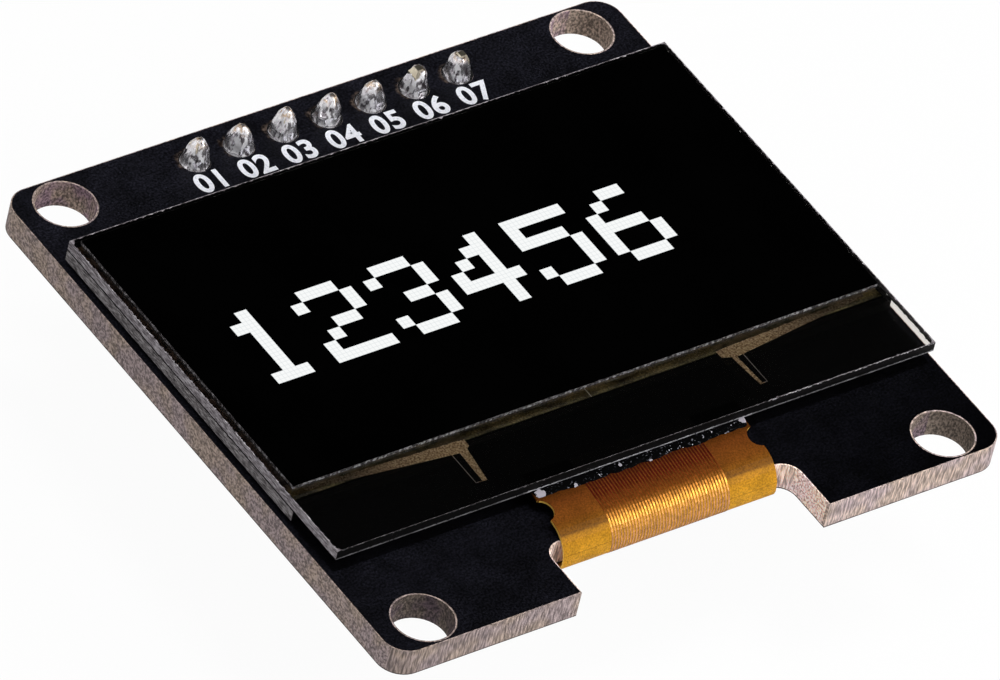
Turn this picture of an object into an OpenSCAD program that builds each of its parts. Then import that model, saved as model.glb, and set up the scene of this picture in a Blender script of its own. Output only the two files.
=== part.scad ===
// Small graphic display module, in millimetres.
// A glass display panel is taped to a notched circuit board. The panel's flex cable folds through
// the notch and is soldered to the rear face, where the pin header and the small parts also sit.
// The origin is the centre of the four mounting holes on the laminate's rear face, +X along the
// pin row, +Y towards the pin row, +Z out of the display.

/* [Board] */
// Width of the board, along the pin row
board_w = 35.2; // [34.8:0.2:42]
// Height of the board, from the notched edge to the pin edge
board_h = 33.4; // [33.2:0.2:38]
// Thickness of the bare laminate
board_t = 1.5; // [1.2:0.1:2]
// Radius of the board's outer corners
corner_r = 1.3; // [0.4:0.1:2]
// Thickness of the lacquer and of the copper on each face
film_t = 0.03; // [0.02:0.01:0.06]
// Bare strip between the lacquer and the board's edges
edge_strip = 0.06; // [0.05:0.01:0.3]
// Distance between mounting holes along X
hole_pitch_x = 30; // [28:0.5:30.4]
// Distance between mounting holes along Y
hole_pitch_y = 30; // [29:0.25:30.25]
// Diameter of the mounting holes
hole_d = 3; // [2:0.1:3]
// Bare ring between a mounting hole and the lacquer
hole_ring = 0.1; // [0.05:0.01:0.2]

/* [Notch] */
// Width of the notch that the flex cable folds through
notch_w = 14.3; // [12:0.1:16]
// Depth of the notch from the board's edge
notch_depth = 3.25; // [2.8:0.05:4]
// Radius in the notch's two inner corners
notch_r = 1; // [0.3:0.1:1.4]

/* [Display panel] */
// Width of the glass
glass_w = 34.5; // [32:0.1:34.8]
// Height of the front glass
glass_h = 22.5; // [21.5:0.1:23.5]
// Distance from the board's pin edge to the glass
glass_setback = 5; // [4.4:0.1:5.4]
// Thickness of the front glass
front_glass_t = 0.55; // [0.4:0.05:1]
// Thickness of the rear glass
rear_glass_t = 0.6; // [0.45:0.05:1]
// How far the front glass reaches past the rear glass, as a ledge for the driver chip
ledge = 3.5; // [3.2:0.1:4]
// Gap between the two glasses
cell_gap = 0.04; // [0.03:0.01:0.06]
// Thickness of the metal and emitter films on the front glass
thin_film_t = 0.01; // [0.005:0.005:0.02]
// Distance from the glass's side and back edges to the seal
seal_inset = 0.3; // [0.1:0.1:0.6]
// Width of the seal
seal_w = 1.1; // [0.6:0.1:1.6]
// Width of the lit area
active_w = 29.4; // [26:0.1:30]
// Height of the lit area
active_h = 14.7; // [12:0.1:15]
// Distance from the glass's back edge to the lit area
active_setback = 2.1; // [1.8:0.1:2.8]
// Thickness of the polariser
polariser_t = 0.17; // [0.1:0.01:0.3]
// Distance from the glass's side and back edges to the polariser
polariser_inset = 0.38; // [0.2:0.02:0.8]
// Distance from the ledge's edge to the polariser
polariser_front = 4.3; // [4.1:0.1:4.8]
// Thickness of the tape between panel and board
tape_t = 0.15; // [0.1:0.01:0.3]
// Distance from the rear glass's edges to the tape
tape_inset = 0.6; // [0.3:0.1:2]

/* [Driver chip] */
// Length of the driver chip
chip_w = 12.4; // [10:0.1:13]
// Width of the driver chip
chip_d = 0.9; // [0.6:0.05:1]
// Thickness of the driver chip
chip_t = 0.3; // [0.2:0.02:0.35]
// Resin round the driver chip, at its ends
resin_end = 1; // [0.5:0.1:1.2]
// Resin over the driver chip's free face
resin_cover = 0.1; // [0.05:0.01:0.12]
// Gap between the resin and the rear glass
resin_back_gap = 0.15; // [0.05:0.01:0.3]
// Gap between the resin and the cable's joint
resin_front_gap = 0.1; // [0.05:0.01:0.2]
// Gap from the resin's end to the metal bar
bar_gap = 0.05; // [0.02:0.01:0.2]
// Depth of the bar in front of the polariser
bar_h = 0.65; // [0.4:0.05:0.8]
// How far the metal film reaches back under the polariser
band_under = 0.2; // [0.1:0.05:0.4]
// Depth of the tapered band's thin end
band_tip_h = 0.12; // [0.05:0.01:0.3]
// Distance from the band's thin end to the glass's side
band_inset = 1.1; // [0.8:0.1:2]
// Length of the full-depth bar past the thin line
bar_past = 0.3; // [0.1:0.05:0.6]
// Distance from the bar's inner end to the stem
stem_offset = 0.55; // [0.3:0.05:1]
// Gap between the stem and the thin line beside it
line_gap = 0.28; // [0.15:0.01:0.4]
// Gap between that line's end and the bar
line_end_gap = 0.3; // [0.1:0.05:0.5]
// Gap from the stem to the cable's joint
stem_gap = 0.22; // [0.1:0.02:0.4]
// Width of each metal fan-out stem on the ledge
stem_w = 0.3; // [0.15:0.05:0.5]
// Width of the thin line beside each stem
stem_line_w = 0.07; // [0.05:0.01:0.12]

/* [Flex cable] */
// Gap between the flex cable and each side of the notch
flex_side_gap = 1; // [0.3:0.1:2]
// Thickness of the flex cable's film
flex_t = 0.1; // [0.06:0.01:0.12]
// Gap between the flex cable and the board
flex_gap = 0.03; // [0.02:0.01:0.1]
// How far the fold stands out from the notch's inner wall
flex_proud = 0.55; // [0.4:0.05:0.7]
// Radius of the fold above the board
fold_r = 1.5; // [1.2:0.1:1.7]
// Radius of the fold under the board
under_fold_r = 0.55; // [0.3:0.05:0.6]
// Length of the cable's tail behind the board, from the notch's inner wall
tail_len = 4.6; // [3:0.1:6]
// Length of the joint between the cable and the ledge
bond_len = 0.9; // [0.6:0.05:1]
// Thickness of the glue in that joint
bond_t = 0.02; // [0.015:0.005:0.04]
// Radius of the round cut in each side of the cable
side_cut_r = 0.6; // [0.3:0.05:0.8]
// Distance from the ledge's edge to that cut's middle
side_cut_out = 1.15; // [0.9:0.05:1.3]
// Least distance the fold stands out of the ledge's edge
fold_lead = 1.6; // [1:0.1:2.5]
// Number of copper traces on the cable
trace_count = 40; // [10:1:48]
// Distance from one trace to the next
trace_pitch = 0.172; // [0.15:0.002:0.2]
// Width of a trace
trace_w = 0.09; // [0.05:0.01:0.12]
// Thickness of a trace
trace_t = 0.012; // [0.008:0.001:0.014]
// Number of soldered lands at the cable's tail
land_count = 30; // [12:1:30]
// Length of a soldered land
land_len = 1.4; // [1:0.1:2]
// Width of a soldered land
land_w = 0.24; // [0.15:0.01:0.28]
// Distance from the cable's sides to the middle of the outer lands
land_margin = 0.4; // [0.3:0.05:0.8]
// Gap between two solder domes on neighbouring lands
dome_gap = 0.08; // [0.04:0.01:0.15]
// Distance from the cable's sides to the lacquer's window for the lands
window_in = 0.2; // [0.1:0.05:0.3]
// Length of the resin bead along the cable, from the ledge's edge
bead_w = 0.62; // [0.4:0.02:0.8]
// Height of the resin bead on the ledge's edge
bead_h = 0.22; // [0.1:0.02:0.26]
// Thickness of the resin bead at its waist
bead_waist = 0.12; // [0.05:0.01:0.2]
// Gap from the resin bead's ends to the cable's sides
bead_end = 0.1; // [0.05:0.01:0.3]

/* [Pin header] */
// Number of pins
pin_count = 7; // [4:1:9]
// Distance from one pin to the next
pin_pitch = 2.54; // [2.54, 2]
// Side of a square pin
pin_side = 0.64; // [0.4:0.02:0.64]
// How far a pin stands out of the board's front face
pin_proud = 1.3; // [1.2:0.1:2]
// How far a pin stands out of the plastic strip behind the board
pin_len = 6; // [3:0.5:12]
// Height of the plastic strip
strip_h = 2.5; // [1.5:0.1:3]
// Width of the plastic strip
strip_w = 2.5; // [1.8:0.1:2.6]
// Distance from the board's edge to the pins
pin_setback = 1.7; // [1.6:0.1:2]
// Diameter of a drilled pin hole
drill_d = 1.12; // [1:0.02:1.2]
// Thickness of the copper wall in a pin hole
barrel_t = 0.04; // [0.02:0.01:0.05]
// Diameter of the copper ring round a pin hole
ring_d = 1.56; // [1.5:0.02:1.9]
// Diameter of a solder cone at its top
cone_top_d = 1.04; // [1:0.02:1.2]
// Copper left bare round a solder cone's foot
cone_margin = 0.03; // [0.01:0.01:0.08]
// How far a pin's end stands out of its solder cone
pin_end = 0.34; // [0.05:0.01:0.4]
// Width of a pin's bevelled end above its solder
pin_top_w = 0.32; // [0.2:0.02:0.4]

/* [Rear components] */
// Number of ceramic capacitors in a row
capacitor_count = 6; // [2:1:7]
// Height of a capacitor
capacitor_t = 0.8; // [0.5:0.05:1]
// Number of resistors in a row
resistor_count = 8; // [2:1:8]
// Height of a resistor
resistor_t = 0.42; // [0.3:0.02:0.6]
// Length of a capacitor or resistor
chip_part_l = 1.6; // [1.2:0.1:1.8]
// Width of a capacitor or resistor
chip_part_w = 0.8; // [0.5:0.05:0.9]
// Length of each metal end on a capacitor or resistor
chip_part_end = 0.3; // [0.2:0.02:0.4]
// Distance from one capacitor or resistor to the next
chip_part_pitch = 2; // [1.8:0.1:2.6]
// Length of the regulator's body
regulator_l = 2.9; // [2.4:0.1:3.2]
// Width of the regulator's body
regulator_w = 1.35; // [1.1:0.05:1.6]
// Height of the regulator's body
regulator_t = 1; // [0.8:0.05:1.2]
// Length of the diode's body
diode_l = 2.6; // [2:0.1:3]
// Width of the diode's body
diode_w = 1.55; // [1.2:0.05:1.8]
// Height of the diode's body
diode_t = 1; // [0.8:0.05:1.2]
// Thickness of the regulator's and the diode's leads
lead_t = 0.14; // [0.1:0.01:0.2]
// Width of the regulator's and the diode's leads
lead_w = 0.42; // [0.3:0.02:0.6]
// How far a lead's foot reaches past its body
lead_reach = 0.6; // [0.5:0.05:0.8]
// Slant of a moulded body's sides, from its middle to each face
body_draft = 0.1; // [0.04:0.01:0.15]
// Gap between the board and the bodies of the regulator and the diode
body_lift = 0.06; // [0.02:0.01:0.1]
// Distance from the regulator's middle to each of its two paired leads
regulator_lead_x = 0.95; // [0.8:0.05:1.1]
// Distance from the board's sides to the middle of the regulator and of the diode
side_part_in = 5.4; // [4:0.1:7]
// How far a pad reaches past a capacitor's or resistor's metal end
pad_past = 0.35; // [0.2:0.05:0.5]
// How far a pad reaches past a lead's foot, on all sides
foot_margin = 0.12; // [0.05:0.01:0.2]
// Gap between a rear pad and the lacquer
pad_gap = 0.05; // [0.03:0.01:0.1]

/* [Hidden] */
$fn = 64;

// Clearance between a metal part and the hole it sits in
fit_gap = 0.01;
// A cut runs this far past the faces it opens
past = 1;

// Board levels and edges
board_top = board_t + film_t;
board_rear = -film_t;
edge_back = board_h / 2;
edge_front = -board_h / 2;
notch_y = edge_front + notch_depth;
pin_y = edge_back - pin_setback;

// Panel levels and edges
glass_back = edge_back - glass_setback;
glass_front = glass_back - glass_h;
rear_glass_front = glass_front + ledge;
rear_glass_z = board_top + tape_t;
cell_z = rear_glass_z + rear_glass_t;
front_glass_z = cell_z + cell_gap;
panel_top = front_glass_z + front_glass_t;
thin_film_z = front_glass_z - thin_film_t;
polariser_y = glass_front + polariser_front;

// Driver chip and its resin, under the ledge
resin_back = rear_glass_front - resin_back_gap;
resin_front = glass_front + bond_len + resin_front_gap;
resin_w = chip_w + 2 * resin_end;
chip_y = (resin_back + resin_front) / 2;

// Flex cable: the film leaves the joint under the ledge, runs down to the fold, wraps the notch's
// inner wall at flex_proud and lies flat under the board. All are at the film's mid-thickness.
flex_w = notch_w - 2 * flex_side_gap;
bond_back = glass_front + bond_len;
bond_z = front_glass_z - bond_t - flex_t / 2;
tail_z = board_rear - flex_gap - flex_t / 2;
// The fold stands out of the notch's wall and of the ledge's edge, whichever reaches further
fold_out = min(notch_y - flex_proud, glass_front - fold_lead);
fold_y = fold_out + fold_r;
// The fold's inside clears the board's top corner by flex_gap
corner_y = fold_y - notch_y;
fold_z = board_top - sqrt(max(0, pow(fold_r - flex_t / 2 - flex_gap, 2) - pow(corner_y, 2)));
under_r = min(under_fold_r, fold_z - tail_z);
under_y = fold_out + under_r;
under_z = tail_z + under_r;
tail_y = notch_y + tail_len;
// Slope of the straight run from the ledge's edge down to the fold
run_dy = glass_front - fold_y;
run_dz = bond_z - fold_z;
run_angle = atan2(run_dz, run_dy) - asin(fold_r / norm([run_dy, run_dz]));
fold_steps = 10;

// Lands at the tail's end
land_y = tail_y - land_len * 0.35;
land_pitch = (flex_w - 2 * land_margin) / (land_count - 1);

// Rear components: each list holds places on the board's rear face
capacitor_y = 3.6;
resistor_y = -0.8;
capacitors = [for (i = [0:capacitor_count - 1])
    [(i - (capacitor_count - 1) / 2) * chip_part_pitch, capacitor_y]];
resistors = [for (i = [0:resistor_count - 1])
    [(i - (resistor_count - 1) / 2) * chip_part_pitch, resistor_y]];
chip_parts = concat(capacitors, resistors);
side_part_y = -4.2;
regulator_at = [side_part_in - board_w / 2, side_part_y];
diode_at = [board_w / 2 - side_part_in, side_part_y];

// Outlines ------------------------------------------------------------------

module rounded_outline(w, h, r) {
    square([w - 2 * r, h], center = true);
    square([w, h - 2 * r], center = true);
    for (x = [-1, 1], y = [-1, 1])
        translate([x * (w / 2 - r), y * (h / 2 - r)])
            circle(r);
}

// The notch, widened by grow on its three sides, open past the board's edge
module notch_outline(grow) {
    w = notch_w + 2 * grow;
    top = notch_y + grow;
    translate([-w / 2, edge_front - past])
        square([w, top - notch_r - edge_front + past]);
    translate([-w / 2 + notch_r, edge_front - past])
        square([w - 2 * notch_r, top - edge_front + past]);
    for (x = [-1, 1])
        translate([x * (w / 2 - notch_r), top - notch_r])
            circle(notch_r);
}

module at_mounting_holes() {
    for (x = [-1, 1], y = [-1, 1])
        translate([x * hole_pitch_x / 2, y * hole_pitch_y / 2])
            children();
}

function pin_x(i) = (i - (pin_count + 1) / 2) * pin_pitch;

module at_pins() {
    for (i = [1:pin_count])
        translate([pin_x(i), pin_y])
            children();
}

// The board drawn inset from its edges, with ring added round the mounting holes
module board_outline(inset, ring, pin_hole_d) {
    difference() {
        rounded_outline(board_w - 2 * inset, board_h - 2 * inset, max(corner_r - inset, 0.1));
        notch_outline(inset);
        at_mounting_holes()
            circle(d = hole_d + 2 * ring);
        at_pins()
            circle(d = pin_hole_d);
    }
}

// Two pads of a capacitor or resistor, as one pair of outlines
module chip_part_pads(grow) {
    pad_l = chip_part_end + pad_past + 2 * grow;
    for (s = [-1, 1])
        translate([0, s * (chip_part_l / 2 - chip_part_end / 2 + pad_past / 2)])
            square([chip_part_w + 2 * grow, pad_l], center = true);
}

// Feet of the regulator: two on one side and one on the other
module at_regulator_leads() {
    for (x = [-regulator_lead_x, regulator_lead_x])
        translate([x, -regulator_w / 2])
            children();
    translate([0, regulator_w / 2])
        rotate(180)
            children();
}

module at_diode_leads() {
    for (a = [0, 180])
        rotate(a)
            translate([0, -diode_l / 2])
                children();
}

module lead_pad(grow) {
    translate([0, -lead_reach * 0.7])
        square([lead_w, lead_reach * 0.6] + 2 * (foot_margin + grow) * [1, 1], center = true);
}

module rear_pad_outlines(grow) {
    for (p = chip_parts)
        translate(p)
            chip_part_pads(grow);
    translate(regulator_at)
        at_regulator_leads()
            lead_pad(grow);
    translate(diode_at)
        at_diode_leads()
            lead_pad(grow);
}

function land_x(i) = (i - (land_count - 1) / 2) * land_pitch;

module land_outlines() {
    for (i = [0:land_count - 1])
        translate([land_x(i), land_y])
            square([land_w, land_len], center = true);
}

// Board ---------------------------------------------------------------------

module circuit_board() {
    color("tan")
        linear_extrude(board_t)
            board_outline(0, 0, drill_d);
}

module front_solder_mask() {
    color([0.06, 0.06, 0.07])
        translate([0, 0, board_t])
            linear_extrude(film_t)
                board_outline(edge_strip, hole_ring, ring_d + 2 * fit_gap);
}

module rear_solder_mask() {
    color([0.06, 0.06, 0.07])
        translate([0, 0, board_rear])
            linear_extrude(film_t)
                difference() {
                    board_outline(edge_strip, hole_ring, ring_d + 2 * fit_gap);
                    rear_pad_outlines(pad_gap);
                    translate([0, land_y])
                        square([flex_w - 2 * window_in, land_len + 2 * pad_gap], center = true);
                }
}

// Copper barrel with a ring on each face, in each pin hole
module plated_holes() {
    outer = drill_d / 2 - fit_gap;
    inner = drill_d / 2 - barrel_t;
    color("goldenrod")
        at_pins()
            rotate_extrude()
                polygon([[inner, board_rear], [ring_d / 2, board_rear], [ring_d / 2, 0], [outer, 0],
                         [outer, board_t], [ring_d / 2, board_t], [ring_d / 2, board_top],
                         [inner, board_top]]);
}

module rear_pads() {
    color("goldenrod")
        translate([0, 0, board_rear])
            linear_extrude(film_t) {
                rear_pad_outlines(0);
                land_outlines();
            }
}

// Display panel -------------------------------------------------------------

module panel_plate(inset, y0, y1, z0, t) {
    translate([-glass_w / 2 + inset, y0, z0])
        cube([glass_w - 2 * inset, y1 - y0, t]);
}

module front_glass() {
    color([0.35, 0.38, 0.4, 0.6])
        panel_plate(0, glass_front, glass_back, front_glass_z, front_glass_t);
}

module rear_glass() {
    color([0.3, 0.33, 0.35])
        panel_plate(0, rear_glass_front, glass_back, rear_glass_z, rear_glass_t);
}

module seal_ring() {
    ring_t = cell_gap - thin_film_t;
    color("dimgray")
        difference() {
            panel_plate(seal_inset, rear_glass_front + seal_inset, glass_back - seal_inset,
                        cell_z, ring_t);
            panel_plate(seal_inset + seal_w, rear_glass_front + seal_inset + seal_w,
                        glass_back - seal_inset - seal_w, cell_z - past, ring_t + 2 * past);
        }
}

module emitter_layer() {
    color([0.05, 0.05, 0.12])
        translate([-active_w / 2, glass_back - active_setback - active_h, thin_film_z])
            cube([active_w, active_h, thin_film_t]);
}

module polariser() {
    color([0.02, 0.02, 0.03])
        panel_plate(polariser_inset, polariser_y, glass_back - polariser_inset,
                    panel_top, polariser_t);
}

module foam_tape() {
    color([0.1, 0.1, 0.1])
        panel_plate(tape_inset, rear_glass_front + tape_inset, glass_back - tape_inset,
                    board_top, tape_t);
}

// Metal film on the ledge: a tapered band along the polariser on each side, ending in a short bar
// and a stem that runs to the cable, with a thin line round the stem's outer side
module fanout_film() {
    bar_x = resin_w / 2 + bar_gap;
    stem_x = bar_x + stem_offset;
    line_x = stem_x + stem_w + line_gap;
    end_x = glass_w / 2 - band_inset;
    back_y = polariser_y + band_under;
    bar_y = polariser_y - bar_h;
    stem_y = bond_back + stem_gap;
    color([0.55, 0.47, 0.3])
        translate([0, 0, thin_film_z])
            linear_extrude(thin_film_t)
                for (m = [0, 1])
                    mirror([m, 0]) {
                        polygon([[bar_x, back_y], [end_x, back_y], [end_x, polariser_y - band_tip_h],
                                 [line_x + bar_past, bar_y], [bar_x, bar_y]]);
                        translate([stem_x, stem_y])
                            square([stem_w, back_y - stem_y]);
                        translate([line_x, stem_y])
                            square([stem_line_w, bar_y - stem_y - line_end_gap]);
                        translate([stem_x + stem_w, stem_y])
                            square([line_gap + stem_line_w, stem_line_w]);
                    }
}

module driver_chip() {
    color([0.16, 0.16, 0.18])
        translate([-chip_w / 2, chip_y - chip_d / 2, thin_film_z - chip_t])
            cube([chip_w, chip_d, chip_t]);
}

module chip_resin() {
    h = chip_t + resin_cover;
    color([0.03, 0.03, 0.03])
        difference() {
            translate([-resin_w / 2, resin_front, thin_film_z - h])
                cube([resin_w, resin_back - resin_front, h]);
            translate([-chip_w / 2, chip_y - chip_d / 2, thin_film_z - chip_t])
                cube([chip_w, chip_d, chip_t + past]);
        }
}

// Flex cable ----------------------------------------------------------------
// Its side view is drawn in [y, z] and pushed out along X.

function arc(centre, r, from, to) = [for (i = [0:fold_steps])
    let (a = from + (to - from) * i / fold_steps) centre + r * [cos(a), sin(a)]];

// Side line of the cable at distance d outside its mid-thickness
function flex_line(d) = concat(
    [[bond_back, bond_z + d]],
    [[glass_front, bond_z] + d / cos(run_angle / 2) * [-sin(run_angle / 2), cos(run_angle / 2)]],
    arc([fold_y, fold_z], fold_r + d, 90 + run_angle, 180),
    arc([under_y, under_z], under_r + d, 180, 270),
    [[tail_y, tail_z - d]]
);

function reversed(list) = [for (i = [len(list) - 1:-1:0]) list[i]];

module along_x(w) {
    rotate([90, 0, 90])
        linear_extrude(w, center = true)
            children();
}

module flex_layer(w, low, high) {
    along_x(w)
        polygon(concat(flex_line(high), reversed(flex_line(low))));
}

module flex_cable() {
    cut_y = glass_front - side_cut_out;
    cut_x = flex_w / 2 + 0.2 * side_cut_r;
    color([0.75, 0.45, 0.1])
        difference() {
            flex_layer(flex_w, -flex_t / 2, flex_t / 2);
            for (s = [-1, 1])
                translate([s * cut_x, cut_y, board_t])
                    cylinder(r = side_cut_r, h = past + cell_z);
        }
}

module flex_traces() {
    color([0.7, 0.35, 0.12])
        for (i = [0:trace_count - 1])
            translate([(i - (trace_count - 1) / 2) * trace_pitch, 0, 0])
                flex_layer(trace_w, flex_t / 2, flex_t / 2 + trace_t);
}

// Glue between the cable and the ledge, beside the traces
module flex_bond() {
    traces_w = trace_count * trace_pitch + 0.1;
    side_w = (flex_w - traces_w) / 2;
    color([0.4, 0.35, 0.3])
        for (s = [-1, 1])
            translate([s * (traces_w + side_w) / 2 - side_w / 2, glass_front, front_glass_z - bond_t])
                cube([side_w, bond_len, bond_t]);
}

// Resin bead in the corner between the ledge's edge and the cable
module joint_resin() {
    base = flex_line(flex_t / 2 + trace_t)[1];
    toe = base + bead_w * [-cos(run_angle), -sin(run_angle)];
    heel = [glass_front, front_glass_z + bead_h];
    waist = base + bead_waist * [-1, 1];
    curve = [for (i = [0:6]) let (s = i / 6)
        (1 - s) * (1 - s) * heel + 2 * s * (1 - s) * waist + s * s * toe];
    color([0.05, 0.04, 0.03])
        along_x(flex_w - 2 * bead_end)
            polygon(concat(curve, [base, [glass_front, base[1]]]));
}

// One solder dome over each land, at the tail's end
module flex_solder() {
    dome_r = (land_pitch - dome_gap) / 2;
    color("silver")
        for (i = [0:land_count - 1])
            translate([land_x(i), tail_y + dome_r + fit_gap, board_rear])
                difference() {
                    sphere(dome_r, $fn = 16);
                    translate([-past, -past, 0])
                        cube(2 * past);
                }
}

// Pin header ----------------------------------------------------------------

module header_strip() {
    chamfer = strip_w / 5;
    s = pin_pitch / 2;
    w = strip_w / 2;
    color([0.05, 0.05, 0.05])
        translate([0, 0, board_rear - strip_h])
            linear_extrude(strip_h)
                difference() {
                    at_pins()
                        polygon([[-s, -w + chamfer], [-s + chamfer, -w], [s - chamfer, -w],
                                 [s, -w + chamfer], [s, w - chamfer], [s - chamfer, w],
                                 [-s + chamfer, w], [-s, w - chamfer]]);
                    at_pins()
                        square(pin_side, center = true);
                }
}

// Square pin with four bevels at either end
module header_pin(i) {
    low = board_rear - strip_h - pin_len;
    tip = 0.45 * pin_side;
    top = board_top + pin_proud - pin_end;
    color("gold")
        translate([pin_x(i), pin_y, 0]) {
            translate([-pin_side / 2, -pin_side / 2, low + tip])
                cube([pin_side, pin_side, top - low - tip]);
            translate([0, 0, top])
                linear_extrude(pin_end, scale = pin_top_w / pin_side)
                    square(pin_side, center = true);
            translate([0, 0, low + tip])
                rotate([180, 0, 0])
                    linear_extrude(tip, scale = 0.4)
                        square(pin_side, center = true);
        }
}

// Solder in the pin hole and its hollow-sided cone on the front face
module solder_joint(i) {
    plug_r = drill_d / 2 - barrel_t - fit_gap;
    foot_r = ring_d / 2 - cone_margin;
    top_r = cone_top_d / 2;
    h = pin_proud - pin_end;
    steps = 8;
    flank = [for (k = [0:steps]) let (s = k / steps)
        [top_r + (foot_r - top_r) * pow(1 - s, 2), board_top + h * s]];
    color("silver")
        translate([pin_x(i), pin_y, 0])
            difference() {
                rotate_extrude()
                    polygon(concat([[0, board_rear], [plug_r, board_rear], [plug_r, board_top]],
                                   flank, [[0, board_top + h]]));
                translate([-pin_side / 2, -pin_side / 2, board_rear - past])
                    cube([pin_side, pin_side, 2 * past + board_top + h]);
            }
}

// Rear components -----------------------------------------------------------
// They hang from the pads' faces at board_rear, so their heights run towards -Z.

module hanging(h) {
    translate([0, 0, board_rear - h])
        linear_extrude(h)
            children();
}

module chip_part_body(places, h) {
    hanging(h)
        for (p = places)
            translate(p)
                square([chip_part_w, chip_part_l - 2 * chip_part_end], center = true);
}

module chip_part_ends(places, h) {
    hanging(h)
        for (p = places, s = [-1, 1])
            translate(p + [0, s * (chip_part_l - chip_part_end) / 2])
                square([chip_part_w, chip_part_end], center = true);
}

module capacitor_bodies() {
    color([0.72, 0.58, 0.42])
        chip_part_body(capacitors, capacitor_t);
}

module capacitor_ends() {
    color("silver")
        chip_part_ends(capacitors, capacitor_t);
}

module resistor_bodies() {
    color([0.1, 0.1, 0.11])
        chip_part_body(resistors, resistor_t);
}

module resistor_ends() {
    color("silver")
        chip_part_ends(resistors, resistor_t);
}

// Wedge of solder against each metal end
module solder_wedges(places, h) {
    for (p = places, a = [0, 180])
        translate([p[0], p[1], board_rear])
            rotate(a)
                translate([0, chip_part_l / 2, 0])
                    along_x(chip_part_w - 0.06)
                        polygon([[0, 0], [pad_past - 0.05, 0], [0.08, -0.35 * h], [0, -0.7 * h]]);
}

module chip_part_solder() {
    color("silver") {
        solder_wedges(capacitors, capacitor_t);
        solder_wedges(resistors, resistor_t);
    }
}

// Moulded body with slanted sides, split at mid-height by the mould line
module moulded_body(w, l, h) {
    draft = body_draft;
    rotate([90, 0, 0])
        linear_extrude(l, center = true)
            polygon([[-w / 2 + draft, 0], [-w / 2, -h / 2], [-w / 2 + draft, -h],
                     [w / 2 - draft, -h], [w / 2, -h / 2], [w / 2 - draft, 0]]);
}

// Bent lead, from the body's side at mid-height down to a flat foot on the pad
module bent_lead(h) {
    mid = -h / 2;
    knee = lead_reach * 0.4;
    along_x(lead_w)
        polygon([[0, mid + lead_t / 2], [0, mid - lead_t / 2], [-knee, mid - lead_t / 2],
                 [-knee - lead_t * 0.6, -lead_t], [-lead_reach, -lead_t], [-lead_reach, 0],
                 [-knee, 0], [-knee + lead_t * 0.4, mid + lead_t / 2]]);
}

module regulator_body() {
    color([0.07, 0.07, 0.08])
        translate([regulator_at[0], regulator_at[1], board_rear - body_lift])
            rotate(90)
                moulded_body(regulator_w, regulator_l, regulator_t);
}

module regulator_leads() {
    color("silver")
        translate([regulator_at[0], regulator_at[1], board_rear])
            at_regulator_leads()
                bent_lead(regulator_t + 2 * body_lift);
}

module diode_body() {
    color([0.07, 0.07, 0.08])
        translate([diode_at[0], diode_at[1], board_rear - body_lift])
            rotate(90)
                moulded_body(diode_l, diode_w, diode_t);
}

module diode_leads() {
    color("silver")
        translate([diode_at[0], diode_at[1], board_rear])
            at_diode_leads()
                bent_lead(diode_t + 2 * body_lift);
}

circuit_board();
front_solder_mask();
rear_solder_mask();
plated_holes();
rear_pads();
front_glass();
rear_glass();
seal_ring();
emitter_layer();
polariser();
foam_tape();
fanout_film();
driver_chip();
chip_resin();
joint_resin();
flex_cable();
flex_traces();
flex_bond();
flex_solder();
header_strip();
capacitor_bodies();
capacitor_ends();
resistor_bodies();
resistor_ends();
chip_part_solder();
regulator_body();
regulator_leads();
diode_body();
diode_leads();
for (i = [1:pin_count]) {
    header_pin(i);
    solder_joint(i);
}
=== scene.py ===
import math
import bpy
from mathutils import Matrix, Vector, noise


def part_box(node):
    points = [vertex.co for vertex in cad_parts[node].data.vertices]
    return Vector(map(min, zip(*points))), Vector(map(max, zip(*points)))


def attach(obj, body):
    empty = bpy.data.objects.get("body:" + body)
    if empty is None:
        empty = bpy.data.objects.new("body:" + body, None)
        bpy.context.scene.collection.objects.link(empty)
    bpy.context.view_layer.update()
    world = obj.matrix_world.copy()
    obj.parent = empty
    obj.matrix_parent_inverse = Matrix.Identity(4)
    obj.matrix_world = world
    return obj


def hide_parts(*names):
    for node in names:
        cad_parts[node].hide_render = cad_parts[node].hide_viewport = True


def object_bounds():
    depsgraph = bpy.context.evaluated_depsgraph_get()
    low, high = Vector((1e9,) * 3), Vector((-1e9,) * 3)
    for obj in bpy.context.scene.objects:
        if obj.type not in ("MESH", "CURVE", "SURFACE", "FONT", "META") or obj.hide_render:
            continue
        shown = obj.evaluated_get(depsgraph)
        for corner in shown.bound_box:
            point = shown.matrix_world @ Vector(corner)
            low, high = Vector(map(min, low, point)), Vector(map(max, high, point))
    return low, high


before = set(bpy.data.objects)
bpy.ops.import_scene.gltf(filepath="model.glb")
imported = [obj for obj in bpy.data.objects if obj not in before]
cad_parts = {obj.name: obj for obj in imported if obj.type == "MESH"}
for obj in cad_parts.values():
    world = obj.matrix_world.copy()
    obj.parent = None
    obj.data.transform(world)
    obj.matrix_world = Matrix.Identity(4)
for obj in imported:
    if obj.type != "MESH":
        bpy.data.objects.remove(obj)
cad_box = [list(corner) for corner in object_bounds()]
bpy.ops.object.select_all(action="DESELECT")
mm = 0.001

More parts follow.
